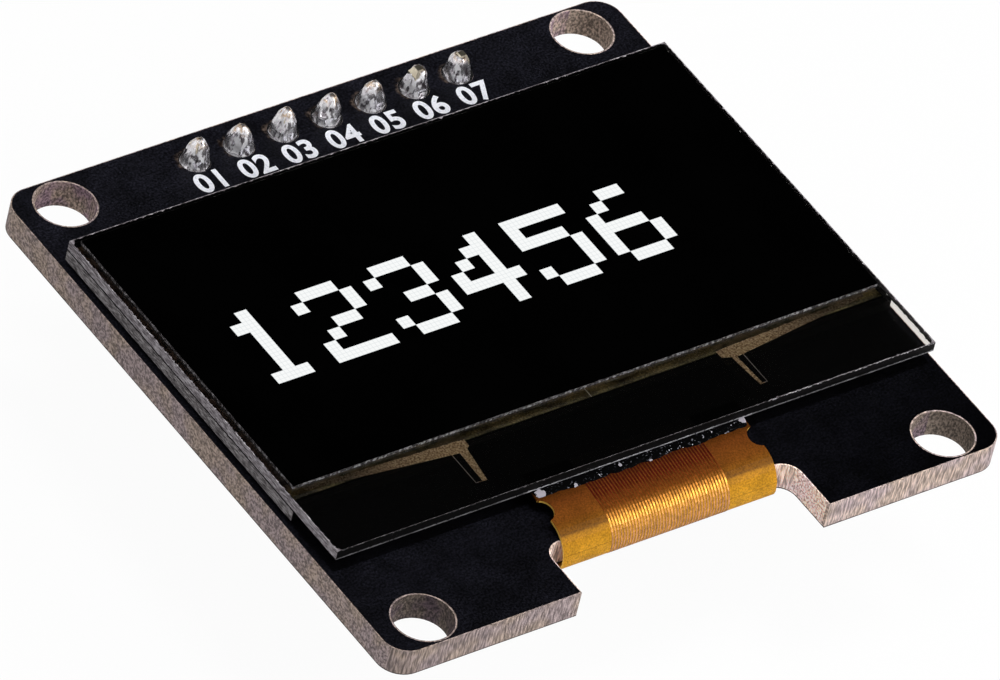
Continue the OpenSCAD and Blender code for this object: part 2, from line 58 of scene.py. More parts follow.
# Camera ---------------------------------------------------------------------
# A long lens stands left of the cable side, 42 degrees up and 0.79 m away, and
# is rolled so that the pin row climbs to the right.
camera_data = bpy.data.cameras.new("camera")
camera_data.sensor_width = 36
camera_data.lens = 605.2
camera_data.clip_start = 0.05
camera_data.clip_end = 20
camera = bpy.data.objects.new("camera", camera_data)
bpy.context.scene.collection.objects.link(camera)
camera_right = Vector((0.8080, -0.5601, 0.1827))
camera_up = Vector((0.2780, 0.6360, 0.7199))
camera_back = camera_right.cross(camera_up).normalized()
camera_up = camera_back.cross(camera_right).normalized()
camera_turn = Matrix((camera_right.normalized(), camera_up, camera_back)).transposed().to_4x4()
camera.matrix_world = Matrix.Translation(Vector((-408.8, -417.9, 527.2)) * mm) @ camera_turn
bpy.context.scene.camera = camera
bpy.context.scene.view_settings.view_transform = "Standard"

# Studio ---------------------------------------------------------------------
# A white sweep lies under the module, which stands on its pins. Three soft lamps
# light it: one close by at the cable side, one far left, and the main one
# overhead, which shows neither in gloss nor through glass.
floor_gap = 0.02 * mm
floor_width = 6
floor_z = cad_box[0][2] - floor_gap
bpy.ops.mesh.primitive_plane_add(size=floor_width, location=(0, 0, floor_z))
floor = bpy.context.object
floor.name = "floor"
bpy.ops.object.transform_apply(location=True, rotation=True, scale=True)
paper = bpy.data.materials.new("floor_paper")
paper.use_nodes = True
tree = paper.node_tree
tree.nodes.clear()
seen_paper = tree.nodes.new("ShaderNodeEmission")
seen_paper.inputs["Color"].default_value = (1, 1, 1, 1)
seen_paper.inputs["Strength"].default_value = 1.0
lit_paper = tree.nodes.new("ShaderNodeBsdfDiffuse")
lit_paper.inputs["Color"].default_value = (0.85, 0.85, 0.85, 1)
path = tree.nodes.new("ShaderNodeLightPath")
seen_share = tree.nodes.new("ShaderNodeMath")
seen_share.operation = "MULTIPLY"
seen_share.inputs[1].default_value = 0.96
both_rays = tree.nodes.new("ShaderNodeMath")
both_rays.operation = "MAXIMUM"
tree.links.new(path.outputs["Is Camera Ray"], both_rays.inputs[0])
tree.links.new(path.outputs["Is Transmission Ray"], both_rays.inputs[1])
tree.links.new(both_rays.outputs[0], seen_share.inputs[0])
paper_mix = tree.nodes.new("ShaderNodeMixShader")
tree.links.new(seen_share.outputs[0], paper_mix.inputs["Fac"])
tree.links.new(lit_paper.outputs[0], paper_mix.inputs[1])
tree.links.new(seen_paper.outputs[0], paper_mix.inputs[2])
paper_out = tree.nodes.new("ShaderNodeOutputMaterial")
tree.links.new(paper_mix.outputs[0], paper_out.inputs["Surface"])
floor.data.materials.append(paper)

# The room is white where it is seen. In gloss it is white low down and grey
# above, with white cards left and beside the lens and a black cloth back right.
world = bpy.data.worlds.new("room")
bpy.context.scene.world = world
world.use_nodes = True
tree = world.node_tree
tree.nodes.clear()
room_light = tree.nodes.new("ShaderNodeBackground")
room_light.inputs["Color"].default_value = (1, 1, 1, 1)
room_light.inputs["Strength"].default_value = 0.26
room_seen = tree.nodes.new("ShaderNodeBackground")
room_seen.inputs["Color"].default_value = (1, 1, 1, 1)
room_seen.inputs["Strength"].default_value = 1.0
room_gloss = tree.nodes.new("ShaderNodeBackground")
room_place = tree.nodes.new("ShaderNodeTexCoord")
room_height = tree.nodes.new("ShaderNodeSeparateXYZ")
tree.links.new(room_place.outputs["Generated"], room_height.inputs[0])
ceiling = tree.nodes.new("ShaderNodeValToRGB")
ceiling.color_ramp.elements[0].position = 0.30
ceiling.color_ramp.elements[0].color = (1, 1, 1, 1)
ceiling.color_ramp.elements[1].position = 0.50
ceiling.color_ramp.elements[1].color = (0.20, 0.20, 0.20, 1)
tree.links.new(room_height.outputs["Z"], ceiling.inputs["Fac"])
last_tone = ceiling.outputs["Color"]
cards = (((-0.80, 0.37, 0.47), 0.70, 0.82, 1.0),
         ((-0.66, -0.44, 0.61), 0.84, 0.93, 1.0),
         ((0.519, 0.531, 0.670), 0.64, 0.84, 0.012))
for way, outer, inner, tone in cards:
    towards = tree.nodes.new("ShaderNodeVectorMath")
    towards.operation = "DOT_PRODUCT"
    towards.inputs[1].default_value = way
    tree.links.new(room_place.outputs["Generated"], towards.inputs[0])
    patch = tree.nodes.new("ShaderNodeMapRange")
    patch.inputs["From Min"].default_value = outer
    patch.inputs["From Max"].default_value = inner
    tree.links.new(towards.outputs["Value"], patch.inputs["Value"])
    laid_over = tree.nodes.new("ShaderNodeMix")
    laid_over.data_type = "RGBA"
    laid_over.inputs[7].default_value = (tone, tone, tone, 1)
    tree.links.new(patch.outputs["Result"], laid_over.inputs["Factor"])
    tree.links.new(last_tone, laid_over.inputs[6])
    last_tone = laid_over.outputs[2]
tree.links.new(last_tone, room_gloss.inputs["Color"])
path = tree.nodes.new("ShaderNodeLightPath")
gloss_rays = tree.nodes.new("ShaderNodeMath")
gloss_rays.operation = "MAXIMUM"
tree.links.new(path.outputs["Is Glossy Ray"], gloss_rays.inputs[0])
tree.links.new(path.outputs["Is Transmission Ray"], gloss_rays.inputs[1])
not_yet_scattered = tree.nodes.new("ShaderNodeMath")
not_yet_scattered.operation = "LESS_THAN"
not_yet_scattered.inputs[1].default_value = 0.5
tree.links.new(path.outputs["Diffuse Depth"], not_yet_scattered.inputs[0])
gloss_share = tree.nodes.new("ShaderNodeMath")
gloss_share.operation = "MULTIPLY"
tree.links.new(gloss_rays.outputs[0], gloss_share.inputs[0])
tree.links.new(not_yet_scattered.outputs[0], gloss_share.inputs[1])
gloss_mix = tree.nodes.new("ShaderNodeMixShader")
tree.links.new(gloss_share.outputs[0], gloss_mix.inputs["Fac"])
tree.links.new(room_light.outputs[0], gloss_mix.inputs[1])
tree.links.new(room_gloss.outputs[0], gloss_mix.inputs[2])
room_mix = tree.nodes.new("ShaderNodeMixShader")
tree.links.new(path.outputs["Is Camera Ray"], room_mix.inputs["Fac"])
tree.links.new(gloss_mix.outputs[0], room_mix.inputs[1])
tree.links.new(room_seen.outputs[0], room_mix.inputs[2])
room_out = tree.nodes.new("ShaderNodeOutputWorld")
tree.links.new(room_mix.outputs[0], room_out.inputs["Surface"])


def soft_lamp(name, place, size, watts, in_gloss=True):
    lamp_data = bpy.data.lights.new(name, "AREA")
    lamp_data.shape = "DISK"
    lamp_data.size = size
    lamp_data.energy = watts
    lamp = bpy.data.objects.new(name, lamp_data)
    bpy.context.scene.collection.objects.link(lamp)
    lamp.location = place
    lamp.visible_camera = False
    lamp.visible_glossy = in_gloss
    lamp.visible_transmission = in_gloss
    lamp.rotation_euler = (-Vector(place)).to_track_quat("-Z", "Y").to_euler()


soft_lamp("cable_side_lamp", (0.085, -0.095, 0.100), 0.10, 0.15)
soft_lamp("left_lamp", (-0.60, 0.10, 0.35), 0.26, 0.30)
soft_lamp("high_lamp", (0.03, -0.03, 0.65), 0.22, 1.9, in_gloss=False)

# Circuit board --------------------------------------------------------------
# Glass-fibre laminate, routed to shape, so its edges and hole walls show the
# cut weave: tan and pinkish grey, with pale fibre ends in rows. The cut edges are
# painted lighter towards the right and in the notch as painted light, and the hole
# walls are painted dark as shade, lighter towards the pin row and the right.
def finish(name, colour, roughness, specular=0.5, metallic=0.0):
    made = bpy.data.materials.new(name)
    made.use_nodes = True
    shader = made.node_tree.nodes["Principled BSDF"]
    shader.inputs["Base Color"].default_value = (*colour, 1)
    shader.inputs["Roughness"].default_value = roughness
    shader.inputs["Specular IOR Level"].default_value = specular
    shader.inputs["Metallic"].default_value = metallic
    return made


def place_on_piece(made, stretch=(1, 1, 1)):
    tree = made.node_tree
    place = tree.nodes.new("ShaderNodeTexCoord")
    mapping = tree.nodes.new("ShaderNodeMapping")
    mapping.inputs["Scale"].default_value = stretch
    tree.links.new(place.outputs["Object"], mapping.inputs["Vector"])
    return mapping.outputs["Vector"]


def axes(made, output="Object"):
    tree = made.node_tree
    place = tree.nodes.new("ShaderNodeTexCoord")
    split = tree.nodes.new("ShaderNodeSeparateXYZ")
    tree.links.new(place.outputs[output], split.inputs[0])
    return split.outputs


def mottle(made, size, detail=3.0, stretch=(1, 1, 1)):
    speckle = made.node_tree.nodes.new("ShaderNodeTexNoise")
    speckle.inputs["Scale"].default_value = 1 / size
    speckle.inputs["Detail"].default_value = detail
    made.node_tree.links.new(place_on_piece(made, stretch), speckle.inputs["Vector"])
    return speckle.outputs["Fac"]


def ramp(made, factor, *stops):
    tree = made.node_tree
    blend = tree.nodes.new("ShaderNodeValToRGB")
    points = blend.color_ramp.elements
    while len(points) < len(stops):
        points.new(0.5)
    for point, (position, colour) in zip(points, stops):
        point.position = position
        point.color = (*colour, 1)
    tree.links.new(factor, blend.inputs["Fac"])
    return blend.outputs["Color"]


def levels(made, factor, *stops):
    return ramp(made, factor, *((position, (level, level, level)) for position, level in stops))


def feed(made, socket, source):
    made.node_tree.links.new(source, made.node_tree.nodes["Principled BSDF"].inputs[socket])


def relief(made, height, depth, strength=1.0):
    tree = made.node_tree
    bump = tree.nodes.new("ShaderNodeBump")
    bump.inputs["Strength"].default_value = strength
    bump.inputs["Distance"].default_value = depth
    tree.links.new(height, bump.inputs["Height"])
    feed(made, "Normal", bump.outputs["Normal"])


def calculate(made, operation, first, second=None, third=None, clamp=False):
    tree = made.node_tree
    step = tree.nodes.new("ShaderNodeMath")
    step.operation = operation
    step.use_clamp = clamp
    for socket, value in zip(step.inputs, (first, second, third)):
        if isinstance(value, (int, float)):
            socket.default_value = value
        elif value is not None:
            tree.links.new(value, socket)
    return step.outputs[0]


def mix_colours(made, factor, first, second):
    tree = made.node_tree
    mixed = tree.nodes.new("ShaderNodeMix")
    mixed.data_type = "RGBA"
    tree.links.new(factor, mixed.inputs["Factor"])
    for socket, value in ((mixed.inputs[6], first), (mixed.inputs[7], second)):
        if isinstance(value, tuple):
            socket.default_value = (*value, 1)
        else:
            tree.links.new(value, socket)
    return mixed.outputs[2]


def put_on(made, *names):
    for name in names:
        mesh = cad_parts[name].data
        mesh.materials.clear()
        mesh.materials.append(made)


def brighten(made, colour, factor):
    scaled = made.node_tree.nodes.new("ShaderNodeVectorMath")
    scaled.operation = "SCALE"
    made.node_tree.links.new(colour, scaled.inputs[0])
    made.node_tree.links.new(factor, scaled.inputs["Scale"])
    return scaled.outputs[0]


board_width, board_height = 35.2 * mm, 33.4 * mm
notch_half, notch_middle, notch_reach = 8.4 * mm, -14.6 * mm, 1.9 * mm
hole_middle, hole_edge, hole_right = 15 * mm, 1.52 * mm, 15.3 * mm
laminate = finish("cut_laminate", (0.42, 0.34, 0.30), 0.75, 0.3)
board_xyz = axes(laminate)
board_turn = axes(laminate, "Normal")
drift = ramp(laminate, mottle(laminate, 1.5 * mm, 2), (0.38, (0.345, 0.272, 0.272)),
             (0.60, (0.375, 0.290, 0.245)))
grain = levels(laminate, mottle(laminate, 0.13 * mm, 3), (0.38, 0.50), (0.50, 1.0), (0.62, 1.60))
cut_fibres = levels(laminate, mottle(laminate, 0.10 * mm, 3, (1, 1, 0.16)), (0.38, 0.50),
                    (0.51, 1.0), (0.62, 1.65))
is_front = calculate(laminate, "LESS_THAN", board_turn["Y"], -0.4)
texture_tone = mix_colours(laminate, is_front, grain, cut_fibres)
across_board = calculate(laminate, "MULTIPLY_ADD", board_xyz["X"], 1 / board_width, 0.5, clamp=True)
# Painted light: the cut edges are painted lighter from left to right, as if lit from the right.
painted_light_across_board = levels(laminate, across_board, (0.0, 0.88), (0.25, 1.0), (0.70, 1.45), (1.0, 1.25))
routed_and_painted_light = brighten(laminate, brighten(laminate, drift, texture_tone), painted_light_across_board)
# Painted light: the notch walls are painted almost twice as light.
in_notch = calculate(laminate, "MULTIPLY",
                     calculate(laminate, "LESS_THAN",
                               calculate(laminate, "ABSOLUTE", board_xyz["X"]), notch_half),
                     calculate(laminate, "COMPARE", board_xyz["Y"], notch_middle, notch_reach))
routed_and_painted_light = brighten(laminate, routed_and_painted_light, calculate(laminate, "MULTIPLY_ADD", in_notch, 0.95, 1.0))
from_hole_x = calculate(laminate, "SUBTRACT", calculate(laminate, "ABSOLUTE", board_xyz["X"]),
                        hole_middle)
from_hole_y = calculate(laminate, "SUBTRACT", calculate(laminate, "ABSOLUTE", board_xyz["Y"]),
                        hole_middle)
from_hole = calculate(laminate, "SQRT",
                      calculate(laminate, "ADD",
                                calculate(laminate, "MULTIPLY", from_hole_x, from_hole_x),
                                calculate(laminate, "MULTIPLY", from_hole_y, from_hole_y)))
in_hole = calculate(laminate, "LESS_THAN", from_hole, hole_edge)
# Painted shade: the hole walls are painted dark, and painted lighter towards the pin row and the
# right.
hole_painted_shade = ramp(laminate, mottle(laminate, 1.1 * mm, 2), (0.40, (0.145, 0.100, 0.118)),
                  (0.60, (0.205, 0.158, 0.130)))
drilled_grain = levels(laminate, mottle(laminate, 0.11 * mm, 3, (1, 1, 0.7)), (0.38, 0.42),
                       (0.50, 1.0), (0.62, 1.80))
towards_pins = calculate(laminate, "MULTIPLY_ADD", board_xyz["Y"], 1 / board_height, 0.5,
                         clamp=True)
hole_painted_light = calculate(laminate, "MULTIPLY_ADD", towards_pins, 1.3,
                      calculate(laminate, "MULTIPLY_ADD", across_board, 0.5, 0.42))
hole_side = calculate(laminate, "GREATER_THAN", board_xyz["X"], hole_right)
hole_painted_shade = mix_colours(laminate, hole_side, hole_painted_shade, (0.170, 0.134, 0.108))
drilled_painted_shade = brighten(laminate, brighten(laminate, hole_painted_shade, drilled_grain), hole_painted_light)
low_rim = calculate(laminate, "LESS_THAN", board_xyz["Z"],
                    calculate(laminate, "MULTIPLY", mottle(laminate, 0.6 * mm, 3), 0.12 * mm))
cut_face = mix_colours(laminate, low_rim, routed_and_painted_light, (0.075, 0.055, 0.050))
feed(laminate, "Base Color", mix_colours(laminate, in_hole, cut_face, drilled_painted_shade))
relief(laminate, mottle(laminate, 0.12 * mm, 3), 0.03 * mm, 0.6)
put_on(laminate, "circuit_board")

# Lacquer --------------------------------------------------------------------
# Black satin lacquer on both faces, sprayed thin, with fine dust and a faint bluish
# grain, and open round each hole and pad. It is lighter towards the pin row and, at the
# cable side, towards the left; under the glass ledge it is painted darker as shade.
pin_numbers = range(1, 8)
pin_pitch, row_y, row_half = 2.54 * mm, 15.1 * mm, 8.9 * mm
ledge_half, ledge_middle, ledge_reach = 17.2 * mm, -8.9 * mm, 1.9 * mm
lacquer = finish("black_lacquer", (0.0028, 0.0028, 0.004), 0.38, 0.05)
dust = levels(lacquer, mottle(lacquer, 0.07 * mm, 3), (0.66, 0), (0.80, 1))
cloud = ramp(lacquer, mottle(lacquer, 1.6 * mm, 5), (0.35, (0.0022, 0.0022, 0.0030)),
             (0.70, (0.0045, 0.0045, 0.0066)))
dusty = mix_colours(lacquer, dust, cloud, (0.020, 0.021, 0.032))
spray = levels(lacquer, mottle(lacquer, 0.11 * mm, 3), (0.38, 0.45), (0.50, 1.0), (0.62, 2.0))
dusty = brighten(lacquer, dusty, spray)
lacquer_xyz = axes(lacquer)
along_row = calculate(lacquer, "SUBTRACT",
                      calculate(lacquer, "FRACT",
                                calculate(lacquer, "MULTIPLY_ADD", lacquer_xyz["X"], 1 / pin_pitch,
                                          0.5)), 0.42)
beside_row = calculate(lacquer, "DIVIDE", calculate(lacquer, "SUBTRACT", lacquer_xyz["Y"], row_y),
                       pin_pitch)
from_pin = calculate(lacquer, "SQRT",
                     calculate(lacquer, "ADD", calculate(lacquer, "MULTIPLY", along_row, along_row),
                               calculate(lacquer, "MULTIPLY", beside_row, beside_row)))
in_row = calculate(lacquer, "LESS_THAN", calculate(lacquer, "ABSOLUTE", lacquer_xyz["X"]), row_half)
near_pin = calculate(lacquer, "MULTIPLY", in_row,
                     calculate(lacquer, "MULTIPLY_ADD", from_pin, -2.6, 1.15, clamp=True))
flux_film = levels(lacquer, calculate(lacquer, "MULTIPLY", near_pin, mottle(lacquer, 0.42 * mm, 4)),
                   (0.17, 0), (0.30, 1))
flux_tone = ramp(lacquer, mottle(lacquer, 0.2 * mm, 3), (0.40, (0.014, 0.009, 0.007)),
                 (0.62, (0.150, 0.110, 0.090)))
to_right = calculate(lacquer, "MULTIPLY_ADD", lacquer_xyz["X"], 1 / board_width, 0.5, clamp=True)
to_row = calculate(lacquer, "MULTIPLY_ADD", lacquer_xyz["Y"], 1 / board_height, 0.5, clamp=True)
# The lacquer is lighter towards the pin row and, at the cable side, towards the left.
cable_tone = calculate(lacquer, "MULTIPLY_ADD", to_right, -1.15, 1.40)
lacquer_tone = calculate(lacquer, "MULTIPLY_ADD", calculate(lacquer, "SUBTRACT", 2.1, cable_tone),
                      to_row, cable_tone)
# Painted shade: under the glass ledge the lacquer is painted about a third as light.
ledge_painted_shade = calculate(lacquer, "MULTIPLY",
                        calculate(lacquer, "LESS_THAN",
                                  calculate(lacquer, "ABSOLUTE", lacquer_xyz["X"]), ledge_half),
                        calculate(lacquer, "COMPARE", lacquer_xyz["Y"], ledge_middle, ledge_reach))
lacquer_tone = calculate(lacquer, "MULTIPLY", lacquer_tone,
                      calculate(lacquer, "MULTIPLY_ADD", ledge_painted_shade, -0.65, 1.0))
feed(lacquer, "Base Color",
     mix_colours(lacquer, flux_film, brighten(lacquer, dusty, lacquer_tone), flux_tone))
feed(lacquer, "Roughness", levels(lacquer, mottle(lacquer, 0.5 * mm, 4), (0.3, 0.30), (0.7, 0.46)))
relief(lacquer, mottle(lacquer, 0.13 * mm, 3), 0.006 * mm, 0.6)
put_on(lacquer, "front_solder_mask", "rear_solder_mask")

# Pin numbers ----------------------------------------------------------------
# White ink screened on the lacquer beside the pins, one plain two-figure
# number at each pin, with thick round-ended strokes.
ink = finish("white_ink", (0.80, 0.81, 0.84), 0.6, 0.3)
ink_cover = ramp(ink, mottle(ink, 0.12 * mm, 3), (0.30, (0.66, 0.68, 0.76)),
                 (0.50, (0.87, 0.88, 0.93)))
feed(ink, "Base Color", ink_cover)
lacquer_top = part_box("front_solder_mask")[1][2]
figure_size, stroke_swell, below_pin = 1.70 * mm, 0.046 * mm, 1.55 * mm
ink_half = 0.004 * mm
for number in pin_numbers:
    low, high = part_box(f"header_pin_{number}")
    bpy.ops.object.text_add(location=(0, 0, 0))
    figures = bpy.context.object
    figures.data.body = f"0{number}"
    figures.data.size = figure_size
    figures.data.space_character = 1.10
    figures.data.offset = stroke_swell
    figures.data.extrude = ink_half
    figures.data.align_x = "CENTER"
    figures.data.align_y = "CENTER"
    bpy.ops.object.convert(target="MESH")
    figures = bpy.context.object
    figures.name = f"pin_number_{number}"
    figures.location = ((low[0] + high[0]) / 2, (low[1] + high[1]) / 2 - below_pin,
                        lacquer_top + ink_half)
    bpy.ops.object.transform_apply(location=True, rotation=True, scale=True)
    figures.data.materials.append(ink)
    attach(figures, "root")
    figures.select_set(False)

# Panel glass ----------------------------------------------------------------
# Two sheets of clear glass, scored and snapped, so their edges are frosted grey with a
# rough rim and small chips, and the top rim catches light. The rear sheet's edge that
# faces the ledge is painted near black as shade.
glass_low, glass_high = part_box("front_glass")
right_part, beside_cable = 7.5 * mm, 6.6 * mm
glass = finish("panel_glass", (0.80, 0.78, 0.74), 0.03, 0.12)
glass_xyz = axes(glass)
glass_turn = axes(glass, "Normal")
is_side = calculate(glass, "LESS_THAN", calculate(glass, "ABSOLUTE", glass_turn["Z"]), 0.5)
side_way = calculate(glass, "SUBTRACT", glass_high[0], calculate(glass, "ABSOLUTE", glass_xyz["X"]))
front_way = calculate(glass, "SUBTRACT", glass_xyz["Y"], glass_low[1])
keen_rim = calculate(glass, "MULTIPLY_ADD",
                     calculate(glass, "LESS_THAN", glass_xyz["X"], right_part), 3.5, 1.3)
back_way = calculate(glass, "SUBTRACT", glass_high[1], glass_xyz["Y"])
rim_way = calculate(glass, "MINIMUM", calculate(glass, "MINIMUM", side_way, back_way),
                    calculate(glass, "MULTIPLY", front_way, keen_rim))
chip_reach = calculate(glass, "MULTIPLY",
                       calculate(glass, "POWER", mottle(glass, 0.22 * mm, 4), 3.0), 0.34 * mm)
corner_way = calculate(glass, "ADD", side_way, calculate(glass, "MINIMUM", front_way, back_way))
corner_reach = calculate(glass, "MULTIPLY_ADD", mottle(glass, 0.3 * mm, 3), 0.5 * mm, 0.05 * mm)
is_rim = calculate(glass, "MAXIMUM", calculate(glass, "LESS_THAN", rim_way, chip_reach),
                   calculate(glass, "LESS_THAN", corner_way, corner_reach))
is_rough = calculate(glass, "MAXIMUM", is_side, is_rim)
ground = ramp(glass, mottle(glass, 0.12 * mm, 4, (0.35, 0.35, 1.6)), (0.34, (0.075, 0.065, 0.070)),
              (0.50, (0.235, 0.210, 0.228)), (0.68, (0.50, 0.475, 0.50)))
near_gap = calculate(glass, "LESS_THAN", glass_xyz["Z"],
                     calculate(glass, "MULTIPLY_ADD", mottle(glass, 0.4 * mm, 3), 0.10 * mm,
                               glass_low[2] - 0.01 * mm))
ground = mix_colours(glass, near_gap, ground, (0.012, 0.010, 0.011))
is_break = calculate(glass, "LESS_THAN", glass_turn["Y"], -0.5)
up_edge = calculate(glass, "DIVIDE", calculate(glass, "SUBTRACT", glass_xyz["Z"], glass_low[2]),
                    glass_high[2] - glass_low[2])
speck_level = levels(glass, up_edge, (0.12, 0.38), (0.19, 0.72), (0.82, 0.74), (0.92, 0.54))
is_speck = calculate(glass, "GREATER_THAN", mottle(glass, 0.13 * mm, 4), speck_level)
speck_tone = ramp(glass, mottle(glass, 0.5 * mm, 3), (0.35, (0.20, 0.19, 0.205)),
                  (0.62, (0.66, 0.65, 0.69)))
broken = mix_colours(glass, is_speck, (0.003, 0.0025, 0.0028), speck_tone)
is_upper = calculate(glass, "GREATER_THAN", up_edge, 0.5)
is_right = calculate(glass, "GREATER_THAN", glass_xyz["X"], right_part)
is_by_cable = calculate(glass, "LESS_THAN", calculate(glass, "ABSOLUTE", glass_xyz["X"]),
                        beside_cable)
upper_tone = calculate(glass, "MULTIPLY_ADD", is_right, 1.10, 0.30)
lower_tone = calculate(glass, "MULTIPLY_ADD", is_by_cable, 0.60, 0.38)
rim_tone = calculate(glass, "MULTIPLY_ADD", calculate(glass, "SUBTRACT", upper_tone, lower_tone),
                     is_upper, lower_tone)
broken = brighten(glass, broken, rim_tone)
edge_colour = mix_colours(glass, is_break, ground, broken)
feed(glass, "Base Color", mix_colours(glass, is_rough, (0.80, 0.77, 0.72), edge_colour))
feed(glass, "Roughness", calculate(glass, "MULTIPLY_ADD", is_rough, 0.6, 0.03))
feed(glass, "Transmission Weight", calculate(glass, "SUBTRACT", 1.0, is_rough))
put_on(glass, "front_glass")

rear_plate = finish("rear_panel_glass", (0.11, 0.10, 0.11), 0.5, 0.06)
rear_ground = ramp(rear_plate, mottle(rear_plate, 0.12 * mm, 4, (0.35, 0.35, 1.6)),
                   (0.34, (0.055, 0.050, 0.051)), (0.50, (0.175, 0.160, 0.165)),
                   (0.68, (0.40, 0.38, 0.39)))
rear_turn = axes(rear_plate, "Normal")
ledge_facing_painted_shade = calculate(rear_plate, "LESS_THAN", rear_turn["Y"], -0.5)
inside_cell = calculate(rear_plate, "GREATER_THAN",
                        calculate(rear_plate, "ABSOLUTE", rear_turn["Z"]), 0.5)
rear_edge = mix_colours(rear_plate, inside_cell, rear_ground, (0.0015, 0.0012, 0.0010))
# Painted shade: the rear glass's edge under the ledge is painted near black.
feed(rear_plate, "Base Color",
     mix_colours(rear_plate, ledge_facing_painted_shade, rear_edge, (0.001, 0.001, 0.001)))
relief(rear_plate, mottle(rear_plate, 0.08 * mm, 3), 0.02 * mm, 0.6)
put_on(rear_plate, "rear_glass")

# Panel inner films ----------------------------------------------------------
# Between the glasses: the dark resin that seals the cell, the emitter film and
# the tape under the panel, seen as a brownish black border.
def thinned_copy(node, name, drop):
    film = bpy.data.objects.new(name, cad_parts[node].data.copy())
    bpy.context.scene.collection.objects.link(film)
    film.data.materials.clear()
    bpy.ops.object.select_all(action="DESELECT")
    bpy.context.view_layer.objects.active = film
    film.select_set(True)
    bpy.ops.object.mode_set(mode="EDIT")
    bpy.ops.mesh.select_mode(type="VERT")
    bpy.ops.mesh.select_all(action="SELECT")
    bpy.ops.mesh.remove_doubles(threshold=0.0001 * mm)
    bpy.ops.mesh.select_all(action="DESELECT")
    bpy.ops.object.mode_set(mode="OBJECT")
    top = max(corner.co.z for corner in film.data.vertices)
    for corner in film.data.vertices:
        corner.select = corner.co.z > top - 0.0005 * mm
    bpy.ops.object.mode_set(mode="EDIT")
    bpy.ops.transform.translate(value=(0, 0, -drop))
    bpy.ops.object.mode_set(mode="OBJECT")
    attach(film, "root")
    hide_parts(node)
    film.select_set(False)
    return film


seal_length = 18.4 * mm
tick_half, tick_middle, tick_reach = 0.022 * mm, -6.60 * mm, 0.30 * mm
seal = finish("cell_seal", (0.05, 0.035, 0.025), 0.6, 0.0)
seal_xyz = axes(seal)
seal_along = calculate(seal, "MULTIPLY_ADD", seal_xyz["Y"], 1 / seal_length, 0.38, clamp=True)
seal_tone = ramp(seal, seal_along, (0.0, (0.0006, 0.0005, 0.0004)),
                 (0.0055, (0.0006, 0.0005, 0.0004)), (0.0075, (0.20, 0.175, 0.084)),
                 (0.013, (0.115, 0.090, 0.036)), (0.035, (0.105, 0.072, 0.027)),
                 (0.06, (0.20, 0.135, 0.110)), (0.90, (0.19, 0.128, 0.105)),
                 (0.97, (0.24, 0.150, 0.095)))
seal_streaks = levels(seal, mottle(seal, 0.55 * mm, 4, (0.4, 1, 1)), (0.34, 0.30), (0.52, 0.95),
                      (0.70, 2.0))
seal_grain = levels(seal, mottle(seal, 0.10 * mm, 3), (0.38, 0.60), (0.50, 1.0), (0.62, 1.55))
is_tick = calculate(seal, "MULTIPLY",
                    calculate(seal, "LESS_THAN", calculate(seal, "ABSOLUTE", seal_xyz["X"]),
                              tick_half),
                    calculate(seal, "COMPARE", seal_xyz["Y"], tick_middle, tick_reach))
feed(seal, "Base Color",
     mix_colours(seal, is_tick, brighten(seal, brighten(seal, seal_tone, seal_streaks), seal_grain),
                 (0.70, 0.65, 0.53)))
seal_bead = thinned_copy("seal_ring", "cell_seal_bead", 0.006 * mm)
seal_bead.data.materials.append(seal)
emitter = finish("emitter_film", (0.003, 0.003, 0.004), 0.3, 0.1)
feed(emitter, "Base Color",
     ramp(emitter, mottle(emitter, 0.23 * mm, 1), (0.4, (0.002, 0.002, 0.003)),
          (0.6, (0.004, 0.004, 0.005))))
put_on(emitter, "emitter_layer")
tape = finish("foam_tape", (0.02, 0.02, 0.02), 0.9, 0.1)
feed(tape, "Base Color", levels(tape, mottle(tape, 0.1 * mm, 2), (0.35, 0.008), (0.65, 0.03)))
put_on(tape, "foam_tape")

# Polariser ------------------------------------------------------------------
# Black film glued on the front glass, mirror smooth and deep black, with a
# die-cut edge that shows as a thin pale dotted line.
polariser_film = finish("polariser_film", (0.0006, 0.0006, 0.0006), 0.08, 0.12)
film_turn = axes(polariser_film, "Normal")
film_edge = calculate(polariser_film, "LESS_THAN",
                      calculate(polariser_film, "ABSOLUTE", film_turn["Z"]), 0.5)
cut_edge = ramp(polariser_film, mottle(polariser_film, 0.14 * mm, 3), (0.38, (0.020, 0.017, 0.018)),
                (0.52, (0.11, 0.100, 0.105)), (0.65, (0.44, 0.42, 0.44)))
smear = levels(polariser_film, mottle(polariser_film, 4 * mm, 3), (0.3, 0.0001), (0.7, 0.0004))
feed(polariser_film, "Base Color", mix_colours(polariser_film, film_edge, smear, cut_edge))
feed(polariser_film, "Roughness",
     levels(polariser_film, mottle(polariser_film, 2.5 * mm, 4), (0.3, 0.06), (0.7, 0.12)))
put_on(polariser_film, "polariser")

# Lit figures ----------------------------------------------------------------
# The display shows six plain figures, 1 to 6. Each square of a figure is three
# by three lit dots of 0.23 mm, with thin dark gaps between the dots.
def turn_faces_out():
    bpy.ops.object.mode_set(mode="EDIT")
    bpy.ops.mesh.select_all(action="SELECT")
    bpy.ops.mesh.normals_make_consistent(inside=False)
    bpy.ops.object.mode_set(mode="OBJECT")


